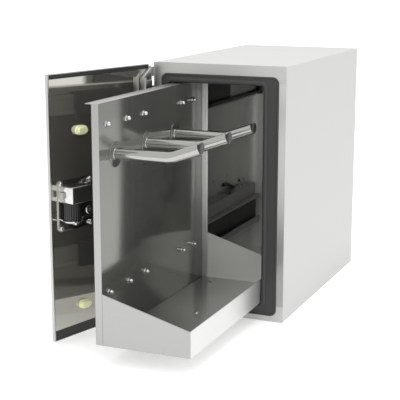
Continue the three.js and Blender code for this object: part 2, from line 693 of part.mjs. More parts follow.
function latchRoller() {
  const { x, z, radius, height, ribs, ribDepth, axle } = ROLLER;
  const shape = new THREE.Shape();
  for (let i = 0; i < ribs * 2; i += 1) {
    const a = (Math.PI * i) / ribs;
    const r = i % 2 ? radius : radius - ribDepth;
    shape[i ? "lineTo" : "moveTo"](r * Math.cos(a), r * Math.sin(a));
  }
  shape.closePath();
  const drum = column(shape, z - height / 2, z + height / 2);
  const pin = rod("z", [0, 0, z - height / 2 - 5], axle, height + 10, 16);
  const m = mesh("latch_roller", join(drum, pin), LOOK.black);
  m.position.set(x, rollerY, 0);
  return m;
}

// Turn handle: a round rose and lever outside the door, on a spindle that ends in a boss inside.
function latchHandle() {
  const y1 = DOOR.outer - GAP;
  const { x, z } = SPINDLE;
  const { half: w, drop, rise, thick, roseLength } = HANDLE;
  const rose = rod("y", [x, y1 - roseLength, z], HANDLE.rose, roseLength, 40);
  const leverBack = y1 - roseLength - 3;
  const lever = slab(roundedRect(x - w, z - drop, x + w, z + rise, w - 0.5), leverBack - thick, leverBack);
  const neck = rod("y", [x, leverBack - 3, z], HANDLE.neck, 8, 28);
  const shaft = rod("y", [x, y1 - 5, z], SPINDLE.radius, DOOR.inner + HANDLE.bossAt + 9.5, 24);
  const boss = rod("y", [x, DOOR.inner + HANDLE.bossAt, z], HANDLE.boss, 8, 28);
  return mesh("latch_handle", join(rose, neck, lever, shaft, boss), LOOK.chrome);
}

function latchBolt() {
  const y0 = DOOR.inner + GAP + 6.5 + GAP;
  const end = [BOLT.left + BOLT.length, y0 + BOLT.size - 2 * GAP, BOLT.z + 6];
  const bolt = box([BOLT.left, y0, BOLT.z - 6], end);
  return mesh("latch_bolt", bolt, LOOK.steel);
}

function startButton() {
  const y0 = DOOR.outer - BUTTON.throw - 1;
  const cap = rod("y", [BUTTON.x, y0, BUTTON.z], BUTTON.radius, BUTTON.length, 36);
  return mesh("start_button", cap, LOOK.black);
}

// ---------------------------------------------------------------- assembly
const rows = ["upper", "lower"];
const group = new THREE.Group();

const cabinet = new THREE.Group();
cabinet.add(cabinetShell(), basePlate(), rearPanel(), ...frameBands(), liner(), insulation(), doorSeal());
cabinet.add(...rows.map(slideBracket), ...rows.map(slideOuter));
cabinet.add(endPlate("end_plate_front", END_PLATE.front), endPlate("end_plate_rear", END_PLATE.rear));
cabinet.add(guideRod(0), guideRod(1), driveBelt(), gearMotor(), powerInlet(), controlBox());
cabinet.add(...hingeSeats.map(([row, z]) => cabinetLeaf(row, z)));

const press = new THREE.Group();
press.add(pressPlate(), pressBracket(), bush("screw_nut", SCREW.z, SCREW.radius, NUT_RADIUS));
press.add(bush("guide_bush_lower", ROD.z[0], ROD.radius, BUSH_RADIUS));
press.add(bush("guide_bush_upper", ROD.z[1], ROD.radius, BUSH_RADIUS));
press.add(leadScrew(), motorPulley());

const slideMiddles = new THREE.Group();
slideMiddles.add(...rows.map(slideMiddle));
slideMiddles.position.y = -TRAVEL / 2;

const carriage = new THREE.Group();
const frontPanelY = CARRIAGE.front;
const rearPanelY = CARRIAGE.front + CARRIAGE.length - SHEET;
carriage.add(sidePlate(), trayFloor());
carriage.add(trayPanel("tray_front_panel", frontPanelY, TRAY.frontLeft, TRAY.side, CARRIAGE.plate + GAP));
const rearFrom = CARRIAGE.plate + REAR_FLANGE + GAP;
carriage.add(trayPanel("tray_rear_panel", rearPanelY, TRAY.rearLeft, TRAY.rearRight, rearFrom));
carriage.add(...[0, 1, 2].map(hook), ...[0, 1, 2].map(hookCap), ...rows.map(slideInner));
carriage.add(...rows.map(slideScrews));
carriage.position.y = -TRAVEL;

const door = new THREE.Group();
door.add(doorPan(), doorInnerPanel());
door.add(doorStrip("door_strip_lower", DOOR.bottom + DOOR.skin + GAP, DOOR.bottom + DOOR_STRIP.bottom));
door.add(doorStrip("door_strip_upper", DOOR.top - DOOR_STRIP.top, DOOR.top - DOOR.skin - GAP));
door.add(...rows.map(bumper), latchBracket(), latchRoller(), latchHandle());
door.add(latchBolt(), startButton());
door.add(...hingeSeats.map(([row, z]) => doorLeaf(row, z)));
door.position.set(PIN.x, PIN.y, 0);
door.rotation.z = (-DOOR_OPEN * Math.PI) / 180;

group.add(cabinet, press, slideMiddles, carriage, door);

export default group;
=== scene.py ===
# Pull-out trash compactor: finishes, detailed pieces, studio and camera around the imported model.
# Helpers take millimetres in the part's own frame: origin under the cabinet, +X right, +Y back, +Z up.
import json
import math
import bmesh
import bpy
from mathutils import Matrix, Vector


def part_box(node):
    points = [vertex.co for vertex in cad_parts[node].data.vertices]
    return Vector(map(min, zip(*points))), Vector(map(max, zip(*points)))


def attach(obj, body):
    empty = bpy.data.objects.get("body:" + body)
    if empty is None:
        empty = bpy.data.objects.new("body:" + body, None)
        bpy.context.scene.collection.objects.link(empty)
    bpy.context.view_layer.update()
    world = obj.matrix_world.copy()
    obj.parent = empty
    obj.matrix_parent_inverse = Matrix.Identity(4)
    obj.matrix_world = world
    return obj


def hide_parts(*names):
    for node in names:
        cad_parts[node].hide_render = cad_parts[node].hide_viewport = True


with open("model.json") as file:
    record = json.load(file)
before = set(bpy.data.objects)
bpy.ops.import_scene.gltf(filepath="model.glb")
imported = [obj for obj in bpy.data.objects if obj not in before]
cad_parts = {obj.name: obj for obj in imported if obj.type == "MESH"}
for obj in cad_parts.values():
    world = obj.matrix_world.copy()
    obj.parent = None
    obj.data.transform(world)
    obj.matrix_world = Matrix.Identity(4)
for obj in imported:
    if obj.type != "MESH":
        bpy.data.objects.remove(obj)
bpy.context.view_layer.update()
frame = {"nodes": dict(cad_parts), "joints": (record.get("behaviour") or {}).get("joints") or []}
scene = bpy.context.scene

MM = 0.001
X, Y, Z = Vector((1, 0, 0)), Vector((0, 1, 0)), Vector((0, 0, 1))
GAP = 0.3  # between parts that touch
DOOR_ANGLE = 105  # degrees that the door stands open at rest


# ---------------------------------------------------------------- places
def box(node):
    """Lowest and highest corner of a CAD node, in millimetres."""
    low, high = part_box(node)
    return low / MM, high / MM


def joint(name):
    return next(j for j in frame["joints"] if j["name"] == name)


hinge_pin = Vector(joint("door_hinge")["pos_m"])
hinge_pin.z = 0
door_turn = Matrix.Translation(hinge_pin) @ Matrix.Rotation(math.radians(-DOOR_ANGLE), 4, "Z")


def door_box(node):
    """Corners of a door node in the door's own axes: x along the door, y into the cabinet when shut."""
    back = door_turn.inverted()
    points = [back @ v.co / MM for v in frame["nodes"][node].data.vertices]
    low = Vector(min(p[i] for p in points) for i in range(3))
    high = Vector(max(p[i] for p in points) for i in range(3))
    return low, high


# ---------------------------------------------------------------- meshes
def finish_mesh(mesh, angle=35):
    mesh.shade_smooth()
    mesh.set_sharp_from_angle(angle=math.radians(angle))


def piece(name, bm, material, body, replaces=(), turn=None, angle=35):
    """Turns a bmesh in millimetres into a piece that rides on a body."""
    bmesh.ops.recalc_face_normals(bm, faces=bm.faces)
    bm.transform(Matrix.Scale(MM, 4))
    if turn is not None:
        bm.transform(turn)
    mesh = bpy.data.meshes.new(name)
    bm.to_mesh(mesh)
    bm.free()
    mesh.materials.append(material)
    finish_mesh(mesh, angle)
    obj = bpy.data.objects.new(name, mesh)
    scene.collection.objects.link(obj)
    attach(obj, body)
    if replaces:
        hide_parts(*replaces)
    return obj


def merged(*parts):
    """Several bmeshes as one."""
    whole = parts[0]
    for part in parts[1:]:
        held = bpy.data.meshes.new("part")
        part.to_mesh(held)
        part.free()
        whole.from_mesh(held)
        bpy.data.meshes.remove(held)
    return whole


def block(low, high, radius=0.8, segments=2):
    """Box between two corners with rounded edges."""
    bm = bmesh.new()
    bmesh.ops.create_cube(bm, size=1)
    low, high = Vector(low), Vector(high)
    for v in bm.verts:
        v.co = Vector(low[i] + (v.co[i] + 0.5) * (high[i] - low[i]) for i in range(3))
    if radius:
        bmesh.ops.bevel(bm, geom=bm.edges[:], offset=radius, segments=segments, profile=0.5, affect="EDGES")
    return bm


def arc(centre, radius, start, end, steps):
    """Points in X and Z round a centre, angles in degrees."""
    turns = [math.radians(start + (end - start) * i / steps) for i in range(steps + 1)]
    return [(centre[0] + radius * math.cos(a), centre[1] + radius * math.sin(a)) for a in turns]


def rounded(x0, z0, x1, z1, r, steps=8):
    """Outline of a rounded rectangle in X and Z, counter-clockwise from the lower right corner."""
    corners = [(x1 - r, z0 + r, -90), (x1 - r, z1 - r, 0), (x0 + r, z1 - r, 90), (x0 + r, z0 + r, 180)]
    return [p for x, z, a in corners for p in arc((x, z), r, a, a + 90, steps)]


def prism(outline, y0, y1, radius=0.0, segments=2):
    """Outline in X and Z with thickness along Y; the rims of both faces can be rounded."""
    bm = bmesh.new()
    rings = [[bm.verts.new((x, y, z)) for x, z in outline] for y in (y0, y1)]
    caps = [bm.faces.new(ring) for ring in rings]
    count = len(outline)
    for i in range(count):
        j = (i + 1) % count
        bm.faces.new((rings[0][i], rings[0][j], rings[1][j], rings[1][i]))
    if radius:
        rims = list({e for cap in caps for e in cap.edges})
        bmesh.ops.bevel(bm, geom=rims, offset=radius, segments=segments, profile=0.5, affect="EDGES")
    return bm


def window(outer, inner, y0, y1):
    """Flat ring between two outlines with the same number of points, with thickness along Y."""
    bm = bmesh.new()
    loops = [[bm.verts.new((x, y, z)) for x, z in line] for line in (outer, inner) for y in (y0, y1)]
    outer_front, outer_rear, inner_front, inner_rear = loops
    count = len(outer)
    loops = (outer_front, outer_rear, inner_rear, inner_front)
    for a, b in zip(loops, loops[1:] + loops[:1]):
        for i in range(count):
            j = (i + 1) % count
            bm.faces.new((a[i], a[j], b[j], b[i]))
    return bm


def lathe(profile, centre, axis=Y, steps=40):
    """Turned solid: profile is (radius, height along the axis), from one pole to the other."""
    bm = bmesh.new()
    side = X if abs(axis.dot(X)) < 0.5 else Z
    up = axis.cross(side)
    rings = []
    for radius, height in profile:
        at = Vector(centre) + axis * height
        if radius < 1e-6:
            rings.append([bm.verts.new(at)])
            continue
        turns = [2 * math.pi * i / steps for i in range(steps)]
        rings.append([bm.verts.new(at + radius * (side * math.cos(a) + up * math.sin(a))) for a in turns])
    for low, high in zip(rings, rings[1:]):
        for i in range(steps):
            j = (i + 1) % steps
            corners = [low[i % len(low)], low[j % len(low)], high[j % len(high)], high[i % len(high)]]
            bm.faces.new(list(dict.fromkeys(corners)))
    return bm


def circle(radius, steps=24):
    angles = [2 * math.pi * i / steps for i in range(steps)]
    return [(radius * math.cos(a), radius * math.sin(a)) for a in angles]


def sweep(section, path, ref, closed=False):
    """Section carried along a path; its second axis stays near ref."""
    bm = bmesh.new()
    count = len(path)
    rings = []
    for i, at in enumerate(path):
        before = path[(i - 1) % count] if closed or i else at
        after = path[(i + 1) % count] if closed or i < count - 1 else at
        along = (after - before).normalized()
        side = along.cross(ref).normalized()
        up = side.cross(along)
        rings.append([bm.verts.new(at + side * a + up * b) for a, b in section])
    pairs = list(zip(rings, rings[1:])) + ([(rings[-1], rings[0])] if closed else [])
    sides = len(section)
    for low, high in pairs:
        for i in range(sides):
            j = (i + 1) % sides
            bm.faces.new((low[i], low[j], high[j], high[i]))
    if not closed:
        bm.faces.new(rings[0])
        bm.faces.new(rings[-1])
    return bm


def carve(bm, *cutters):
    """Cuts the cutters out of a bmesh."""
    return boolean("DIFFERENCE", bm, *cutters)


def boolean(operation, bm, *others):
    held = []
    for part in (bm, *others):
        bmesh.ops.recalc_face_normals(part, faces=part.faces)
        mesh = bpy.data.meshes.new("held")
        part.to_mesh(mesh)
        part.free()
        obj = bpy.data.objects.new("held", mesh)
        scene.collection.objects.link(obj)
        held.append(obj)
    body, *tools = held
    for tool in tools:
        cut = body.modifiers.new("cut", "BOOLEAN")
        cut.operation = operation
        cut.solver = "EXACT"
        cut.object = tool
    graph = bpy.context.evaluated_depsgraph_get()
    result = bmesh.new()
    result.from_mesh(body.evaluated_get(graph).to_mesh())
    for obj in held:
        mesh = obj.data
        bpy.data.objects.remove(obj)
        bpy.data.meshes.remove(mesh)
    return result


# ---------------------------------------------------------------- finishes
def link(tree, source, target):
    tree.links.new(source, target)


def grain(tree, stretch, scale, detail=3.0):
    """Noise in the object's own coordinates, stretched along the way the metal was brushed."""
    coords = tree.nodes.new("ShaderNodeTexCoord")
    mapping = tree.nodes.new("ShaderNodeMapping")
    mapping.inputs["Scale"].default_value = stretch
    noise = tree.nodes.new("ShaderNodeTexNoise")
    noise.inputs["Scale"].default_value = scale
    noise.inputs["Detail"].default_value = detail
    link(tree, coords.outputs["Object"], mapping.inputs["Vector"])
    link(tree, mapping.outputs["Vector"], noise.inputs["Vector"])
    return noise.outputs["Fac"]


def between(tree, value, low, high, start=0.0, end=1.0):
    ranged = tree.nodes.new("ShaderNodeMapRange")
    ranged.inputs["From Min"].default_value = start
    ranged.inputs["From Max"].default_value = end
    ranged.inputs["To Min"].default_value = low
    ranged.inputs["To Max"].default_value = high
    link(tree, value, ranged.inputs["Value"])
    return ranged.outputs["Result"]


def blended(tree, factor, first, second):
    """Colour between two others; each is a tuple or a socket."""
    mix = tree.nodes.new("ShaderNodeMix")
    mix.data_type = "RGBA"
    link(tree, factor, mix.inputs["Factor"])
    for value, socket in ((first, mix.inputs["A"]), (second, mix.inputs["B"])):
        if isinstance(value, tuple):
            socket.default_value = (*value, 1)
        else:
            link(tree, value, socket)
    return mix.outputs["Result"]


def toned(colour, factor):
    return tuple(min(c * factor, 1) for c in colour)


def surface(
    name, colour, roughness, metallic=0.0, stretch=(1, 1, 1), scale=60.0, tone=0.05, spread=0.05,
    bump=0.04, painted_light_fade=None, painted_reflection_facing=None, specular=0.5,
):
    """Procedural finish. A colour ramp (axis, start, end, factor at start, factor at end), in metres, scales
    the colour
    along that axis: painted light and shade. A second look (axis, colour, roughness) gives another colour and
    roughness where the surface faces along that axis, either way; its colour is a painted reflection."""
    material = bpy.data.materials.new(name)
    material.use_nodes = True
    tree = material.node_tree
    shader = tree.nodes["Principled BSDF"]
    noise = grain(tree, stretch, scale)
    base = blended(tree, noise, toned(colour, 1 - tone), toned(colour, 1 + tone))
    rough = between(tree, noise, max(roughness - spread, 0.02), roughness + spread)
    # Another colour and roughness on the faces that point along one axis; the colour is a painted reflection
    if painted_reflection_facing:
        axis, other, other_rough = painted_reflection_facing
        coords = tree.nodes.new("ShaderNodeTexCoord")
        split = tree.nodes.new("ShaderNodeSeparateXYZ")
        link(tree, coords.outputs["Normal"], split.inputs["Vector"])
        level = tree.nodes.new("ShaderNodeMath")
        level.operation = "ABSOLUTE"
        link(tree, split.outputs[axis], level.inputs[0])
        mask = between(tree, level.outputs["Value"], 0, 1, 0.4, 0.6)
        far = blended(tree, noise, toned(other, 1 - tone), toned(other, 1 + tone))
        base = blended(tree, mask, base, far)
        rough_mix = tree.nodes.new("ShaderNodeMix")
        link(tree, mask, rough_mix.inputs["Factor"])
        link(tree, rough, rough_mix.inputs["A"])
        other_range = between(tree, noise, max(other_rough - spread, 0.02), other_rough + spread)
        link(tree, other_range, rough_mix.inputs["B"])
        rough = rough_mix.outputs["Result"]
    # Colour scaled along one axis of the object: painted light and shade
    if painted_light_fade:
        axis, start, end, first, last = painted_light_fade
        coords = tree.nodes.new("ShaderNodeTexCoord")
        split = tree.nodes.new("ShaderNodeSeparateXYZ")
        link(tree, coords.outputs["Object"], split.inputs["Vector"])
        level = between(tree, split.outputs[axis], first, last, start, end)
        scaled = tree.nodes.new("ShaderNodeVectorMath")
        scaled.operation = "SCALE"
        link(tree, base, scaled.inputs[0])
        link(tree, level, scaled.inputs["Scale"])
        base = scaled.outputs["Vector"]
    link(tree, base, shader.inputs["Base Color"])
    link(tree, rough, shader.inputs["Roughness"])
    shader.inputs["Metallic"].default_value = metallic
    shader.inputs["Specular IOR Level"].default_value = specular
    if bump:
        relief = tree.nodes.new("ShaderNodeBump")
        relief.inputs["Strength"].default_value = bump
        relief.inputs["Distance"].default_value = 0.0004
        link(tree, noise, relief.inputs["Height"])
        link(tree, relief.outputs["Normal"], shader.inputs["Normal"])
    return material


ALONG_X, ALONG_Y, ALONG_Z = (0.05, 6, 6), (6, 0.05, 6), (6, 6, 0.05)

painted = surface("painted_sheet", (0.54, 0.54, 0.53), 0.55, 0.0, scale=900, tone=0.02, bump=0.02)
satin = surface("satin_steel", (0.50, 0.50, 0.49), 0.36, 1.0, ALONG_X, 220, tone=0.04)
# Satin steel of the frame's uprights, darker towards the bottom: painted shade
satin_upright_painted_shade = surface(
    "satin_steel_upright_painted_shade", (0.54, 0.54, 0.53), 0.36, 1.0, ALONG_Z, 220, tone=0.04,
    painted_light_fade=("Z", 0.1, 0.5, 0.72, 1.0),
)
# Chamber steel, growing lighter from the middle towards the rear: painted light and shade
chamber = surface(
    "chamber_steel", (0.70, 0.70, 0.67), 0.42, 0.25, ALONG_Z, 160, tone=0.05, painted_light_fade=("Y", 0.0, 0.2, 0.8, 1.4)
)
mirror_dark = (0.52, 0.51, 0.46)
# Side plate steel: a darker colour on the faces that point along X, a painted reflection
plate_steel_painted_reflection = surface(
    "carriage_plate_steel_painted_reflection", (0.40, 0.40, 0.39), 0.3, 0.75, ALONG_Z, 200, tone=0.04, spread=0.03,
    painted_reflection_facing=("X", (0.21, 0.21, 0.197), 0.12),
)
# Tray floor steel: a darker colour on the upward faces, a painted reflection, and lighter towards +X, painted
# light
floor_steel_painted_light = surface(
    "tray_floor_steel_painted_light", (0.47, 0.47, 0.46), 0.32, 0.7, ALONG_Y, 200, tone=0.04, spread=0.03,
    painted_reflection_facing=("Z", (0.38, 0.38, 0.36), 0.16), painted_light_fade=("X", -0.08, 0.1, 0.9, 1.4),
)
door_steel = surface(
    "door_liner_steel", mirror_dark, 0.06, 0.9, ALONG_Z, 120, tone=0.04, spread=0.02, bump=0.01
)
rear_tray_steel = surface("tray_rear_steel", (0.85, 0.85, 0.82), 0.25, 0.4, ALONG_X, 200)
# Rear flange steel, darker towards the bottom: painted shade
flange_steel_painted_shade = surface(
    "rear_flange_steel_painted_shade", (0.92, 0.92, 0.90), 0.28, 0.25, ALONG_Z, 200, painted_light_fade=("Z", 0.1, 0.3, 0.5, 1.05)
)
panel_steel = surface("tray_front_steel", (0.40, 0.40, 0.39), 0.36, 0.9, ALONG_X, 200)
chrome = surface("chrome", (0.62, 0.62, 0.61), 0.1, 1.0, (1, 1, 1), 300, tone=0.02, spread=0.03, bump=0.0)
tube_steel = surface("tube_steel", (0.42, 0.42, 0.40), 0.16, 1.0, ALONG_X, 240, tone=0.04, spread=0.05)
machined = surface("machined_steel", (0.44, 0.44, 0.43), 0.34, 0.7, ALONG_Y, 200)
black_steel = surface("black_steel", (0.012, 0.012, 0.012), 0.42, 0.0, (1, 1, 1), 500, tone=0.1)
rubber = surface("seal_rubber", (0.032, 0.032, 0.031), 0.6, 0.0, (1, 1, 1), 900, tone=0.08, bump=0.08)
black_plastic = surface(
    "black_plastic", (0.015, 0.015, 0.015), 0.38, 0.0, (1, 1, 1), 1200, tone=0.1, bump=0.1
)
bumper_plastic = surface("bumper_plastic", (0.96, 1.0, 0.62), 0.35, 0.0, (1, 1, 1), 400, tone=0.03)
bronze = surface("bronze", (0.50, 0.32, 0.11), 0.3, 1.0, ALONG_Y, 200)
foam = surface("insulation_foam", (0.74, 0.66, 0.42), 0.95, 0.0, (1, 1, 1), 700, tone=0.12, bump=0.5)


def paint(material, *nodes):
    for name in nodes:
        mesh = frame["nodes"][name].data
        mesh.materials.clear()
        mesh.materials.append(material)


ROWS = ("upper", "lower")
HOOKS = (1, 2, 3)
paint(painted, "rear_panel", "outer_shell")
paint(satin, "front_frame_top", "front_frame_bottom", "door_pan")
paint(panel_steel, "tray_front_panel")
paint(satin_upright_painted_shade, "front_frame_left", "front_frame_right")
paint(satin, *(f"hinge_leaf_{side}_{row}" for side in ("cabinet", "door") for row in ROWS))
paint(machined, "base_plate", "end_plate_front", "end_plate_rear", "press_bracket", "lead_screw")
paint(machined, "motor_pulley", "latch_bolt", *(f"slide_inner_{row}" for row in ROWS))
paint(machined, *(f"slide_bracket_{row}" for row in ROWS))
paint(black_steel, "gear_motor", "door_strip_lower", "door_strip_upper")
paint(black_plastic, "control_box", "power_inlet", "start_button", "drive_belt")
paint(chrome, "guide_rod_lower", "guide_rod_upper")
paint(foam, "insulation_jacket")
paint(bronze, "screw_nut", "guide_bush_lower", "guide_bush_upper")
paint(door_steel, "door_inner_panel")
paint(floor_steel_painted_light, "tray_floor")
paint(rear_tray_steel, "tray_rear_panel")
paint(chamber, "press_plate")

# ---------------------------------------------------------------- cabinet
SHEET = 1.5
EDGE = 2.2  # bend radius of the outer sheet

shell_low, shell_high = box("outer_shell")
outer_line = rounded(shell_low.x, shell_low.z, shell_high.x, shell_high.z, EDGE, 4)
inner_line = rounded(
    shell_low.x + SHEET, shell_low.z - 0.01 + SHEET,
    shell_high.x - SHEET, shell_high.z - SHEET, EDGE - SHEET, 4,
)
piece(
    "shell_wrap", window(outer_line, inner_line, shell_low.y, shell_high.y), painted, "cabinet",
    ["outer_shell"],
)

liner_low, liner_high = box("chamber_liner")
CAVITY = {"half": 137, "bottom": 20, "top": 532, "rear": 246, "corner": 40, "front": -259}


def chamber_skin():
    """Lining of the chamber: walls with a rounded rear left corner, floor, ceiling and front flange."""
    half, rear, corner, front = (CAVITY[k] for k in ("half", "rear", "corner", "front"))
    bend = arc((corner - half, rear - corner), corner, 90, 180, 24)
    plan = [(half, front), (half, rear)] + bend + [(-half, front)]
    bm = bmesh.new()
    rings = [[bm.verts.new((x, y, z)) for x, y in plan] for z in (CAVITY["bottom"], CAVITY["top"])]
    outer = [(x + SHEET * (1 if x > 0 else -1), y + (SHEET if y > front else 0)) for x, y in plan]
    grown = [[bm.verts.new((x, y, z + dz)) for x, y in outer]
             for z, dz in ((CAVITY["bottom"], -SHEET), (CAVITY["top"], SHEET))]
    for low, high in (rings, grown):
        for i in range(len(plan) - 1):
            bm.faces.new((low[i], low[i + 1], high[i + 1], high[i]))
        bm.faces.new(low)
        bm.faces.new(high)
    for near, far in ((rings[0], grown[0]), (rings[1], grown[1])):
        bm.faces.new((near[0], near[-1], far[-1], far[0]))
    for i in (0, -1):
        bm.faces.new((rings[0][i], rings[1][i], grown[1][i], grown[0][i]))
    return bm


DOORWAY = {"left": -115, "right": 100.7, "bottom": 37, "top": 506.4, "radius": 5}
RING = {"left": -132, "right": 134.6, "bottom": 12, "top": 525.6, "radius": 14}


def ring_line(side, grow=0.0, steps=8):
    r = max(side["radius"] + grow, 1)
    left, bottom = side["left"] - grow, side["bottom"] - grow
    return rounded(left, bottom, side["right"] + grow, side["top"] + grow, r, steps)


flange_line = rounded(liner_low.x, liner_low.z, liner_high.x, liner_high.z, 1)
flange = window(flange_line, ring_line(DOORWAY), liner_low.y, CAVITY["front"] - 0.1)
piece("chamber_skin", merged(chamber_skin(), flange), chamber, "cabinet", ["chamber_liner"])


def seal_ring():
    """Gasket: a flat band in the frame's opening and a rounded inner lip round the doorway."""
    low, high = box("door_seal")
    lip = 11
    band_front = low.y + 3
    line = [Vector((x, 0, z)) for x, z in ring_line(DOORWAY, lip / 2, 10)]
    bulb = []
    for i in range(13):
        a = math.pi * i / 12
        bulb.append((lip / 2 * math.cos(a), low.y + 4 - 4 * math.sin(a)))
    section = bulb + [(-lip / 2, high.y), (lip / 2, high.y)]
    lip_ring = sweep(section, line, Y, closed=True)
    band = window(ring_line(RING, -GAP), ring_line(DOORWAY, lip - 0.5), band_front, high.y)
    rim_line = [Vector((x, 0, z)) for x, z in ring_line(RING, -GAP - 2.2, 8)]
    turns = [math.pi * i / 8 for i in range(9)]
    rim = [(2.2 * math.cos(a), band_front + 0.5 - 1.5 * math.sin(a)) for a in turns]
    rim_ring = sweep(rim, rim_line, Y, closed=True)
    return merged(lip_ring, band, rim_ring)


piece("gasket", seal_ring(), rubber, "cabinet", ["door_seal"])


# ---------------------------------------------------------------- slides
def channel_line(x0, x1, z0, z1, thick, lip):
    """C section open to +X, with its lips turned inwards."""
    return [
        (x0, z0), (x1, z0), (x1, z0 + lip), (x1 - thick, z0 + lip),
        (x1 - thick, z0 + thick), (x0 + thick, z0 + thick),
        (x0 + thick, z1 - thick), (x1 - thick, z1 - thick),
        (x1 - thick, z1 - lip), (x1, z1 - lip), (x1, z1), (x0, z1),
    ]


def slide_pieces(row):
    low, high = box(f"slide_outer_{row}")
    back = prism(channel_line(low.x, high.x, low.z, high.z, SHEET, 6), low.y, high.y, 0.3, 1)
    lips, inside = (machined, black_steel) if row == "lower" else (black_steel, machined)
    piece(f"slide_channel_{row}", back, lips, "cabinet", [f"slide_outer_{row}"])
    # A thin sheet on the channel's back colours its inside: on the lower row a black sheet, painted shade
    # inside the machined channel; on the upper row machined steel inside the black channel
    shade_low, shade_high = low.z + SHEET + GAP, high.z - SHEET - GAP
    web = block((low.x + SHEET + 0.1, low.y + 2, shade_low), (low.x + SHEET + 0.6, high.y - 2, shade_high), 0)
    piece(f"slide_inside_sheet_{row}", web, inside, "cabinet")
    mid_low, mid_high = box(f"slide_middle_{row}")
    mid_line = channel_line(mid_low.x, mid_high.x, mid_low.z, mid_high.z, SHEET, 4)
    middle = prism(mid_line, mid_low.y, mid_high.y, 0.3, 1)
    piece(
        f"slide_carrier_{row}", middle, black_steel, "slide_middles", [f"slide_middle_{row}"]
    )


for row in ROWS:
    slide_pieces(row)


# ---------------------------------------------------------------- screws
def pan_head(centre, radius, height, axis):
    """Pan head with a cross recess; its foot is at the centre."""
    rim = [(radius * math.cos(a), height * (0.35 + 0.65 * math.sin(a))) for a in (0, 0.35, 0.7, 1.0, 1.3)]
    head = lathe([(0, 0), (radius * 0.96, 0), (radius, height * 0.2), *rim, (0, height)], centre, axis, 24)
    side = X if abs(axis.dot(X)) < 0.5 else Z
    up = axis.cross(side)
    arm, slot_half = radius * 0.55, radius * 0.11
    cutters = []
    for along, across in ((side, up), (up, side)):
        reach = along * arm + across * slot_half
        reach = Vector(abs(c) for c in reach)
        depth = Vector(abs(c) for c in axis) * height
        top = Vector(centre) + axis * height
        cutters.append(block(top - reach - depth * 0.5, top + reach + depth * 0.5, 0))
    return carve(head, *cutters)


def stud(centre, radius, reach):
    """Domed nut on a washer, standing off the side plate."""
    washer = [(0, 0), (radius + 2, 0), (radius + 2, 0.5), (radius + 1.6, 0.9), (radius, 1)]
    profile = [*washer, (radius, reach * 0.5)]
    for i in range(1, 9):
        a = math.radians(90 * i / 8)
        profile.append((radius * math.cos(a) if i < 8 else 0, reach * (0.5 + 0.5 * math.sin(a))))
    return lathe(profile, centre, X, 28)


PLATE_INSET = 27  # the sheet, from the left edge of the side plate
SCREW_STATIONS = (29, 112, 186, 370, 430)  # from the front of the side plate


def screw_rows():
    plate_low = box("carriage_side_plate")[0]
    for row in ROWS:
        low, high = box(f"slide_screws_{row}")
        z = (low.z + high.z) / 2
        face = plate_low.x + PLATE_INSET + SHEET + 0.1
        reach = high.x - face
        heads = [stud((face, plate_low.y + at, z), 4.4, reach) for at in SCREW_STATIONS]
        strip = block((low.x, low.y, z - 2.4), (face - SHEET - GAP, high.y, z + 2.4), 0.3, 1)
        screws = merged(strip, *heads)
        piece(f"plate_screws_{row}", screws, chrome, "carriage", [f"slide_screws_{row}"])


screw_rows()


# ---------------------------------------------------------------- carriage
def side_plate():
    low, high = box("carriage_side_plate")
    face = low.x + PLATE_INSET + SHEET  # tray side of the sheet
    x0 = face - SHEET
    rear = high.y - SHEET
    front_flange, bend = 13.7, 0.7
    sheet = block((x0, low.y, low.z), (face, high.y, high.z), bend, 3)
    top = block((low.x, low.y, high.z - SHEET), (face - 0.05, high.y - 0.05, high.z - 0.01), bend, 3)
    front_low = (x0 - front_flange, low.y + 0.01, low.z + 0.05)
    front = block(front_low, (face - 0.05, low.y + SHEET, high.z - 0.05), bend, 3)
    back = block((x0 + 0.05, rear, low.z + 0.05), (high.x, high.y - 0.01, high.z - 0.05), bend, 3)
    hem = block((high.x - 6.2, rear - 1.3, low.z + 0.05), (high.x, rear + 0.05, high.z - 0.05), 0.6, 3)
    return merged(sheet, top, front), merged(back, hem)


side_sheet, rear_flange = side_plate()
piece("side_sheet", side_sheet, plate_steel_painted_reflection, "carriage", ["carriage_side_plate"])
piece("side_sheet_rear_flange", rear_flange, flange_steel_painted_shade, "carriage")
tray_low = box("tray_floor")[0]
TRAY_FLOOR = 10.6  # floor above the tray's hem
floor_screw = pan_head((13, tray_low.y + 225, tray_low.z + TRAY_FLOOR), 5, 2.6, Z)
piece("tray_floor_screw", floor_screw, chrome, "carriage")

HOOK = {"radius": 11, "straight": 104, "bend": 22, "rise": 19.5, "flange": 25}


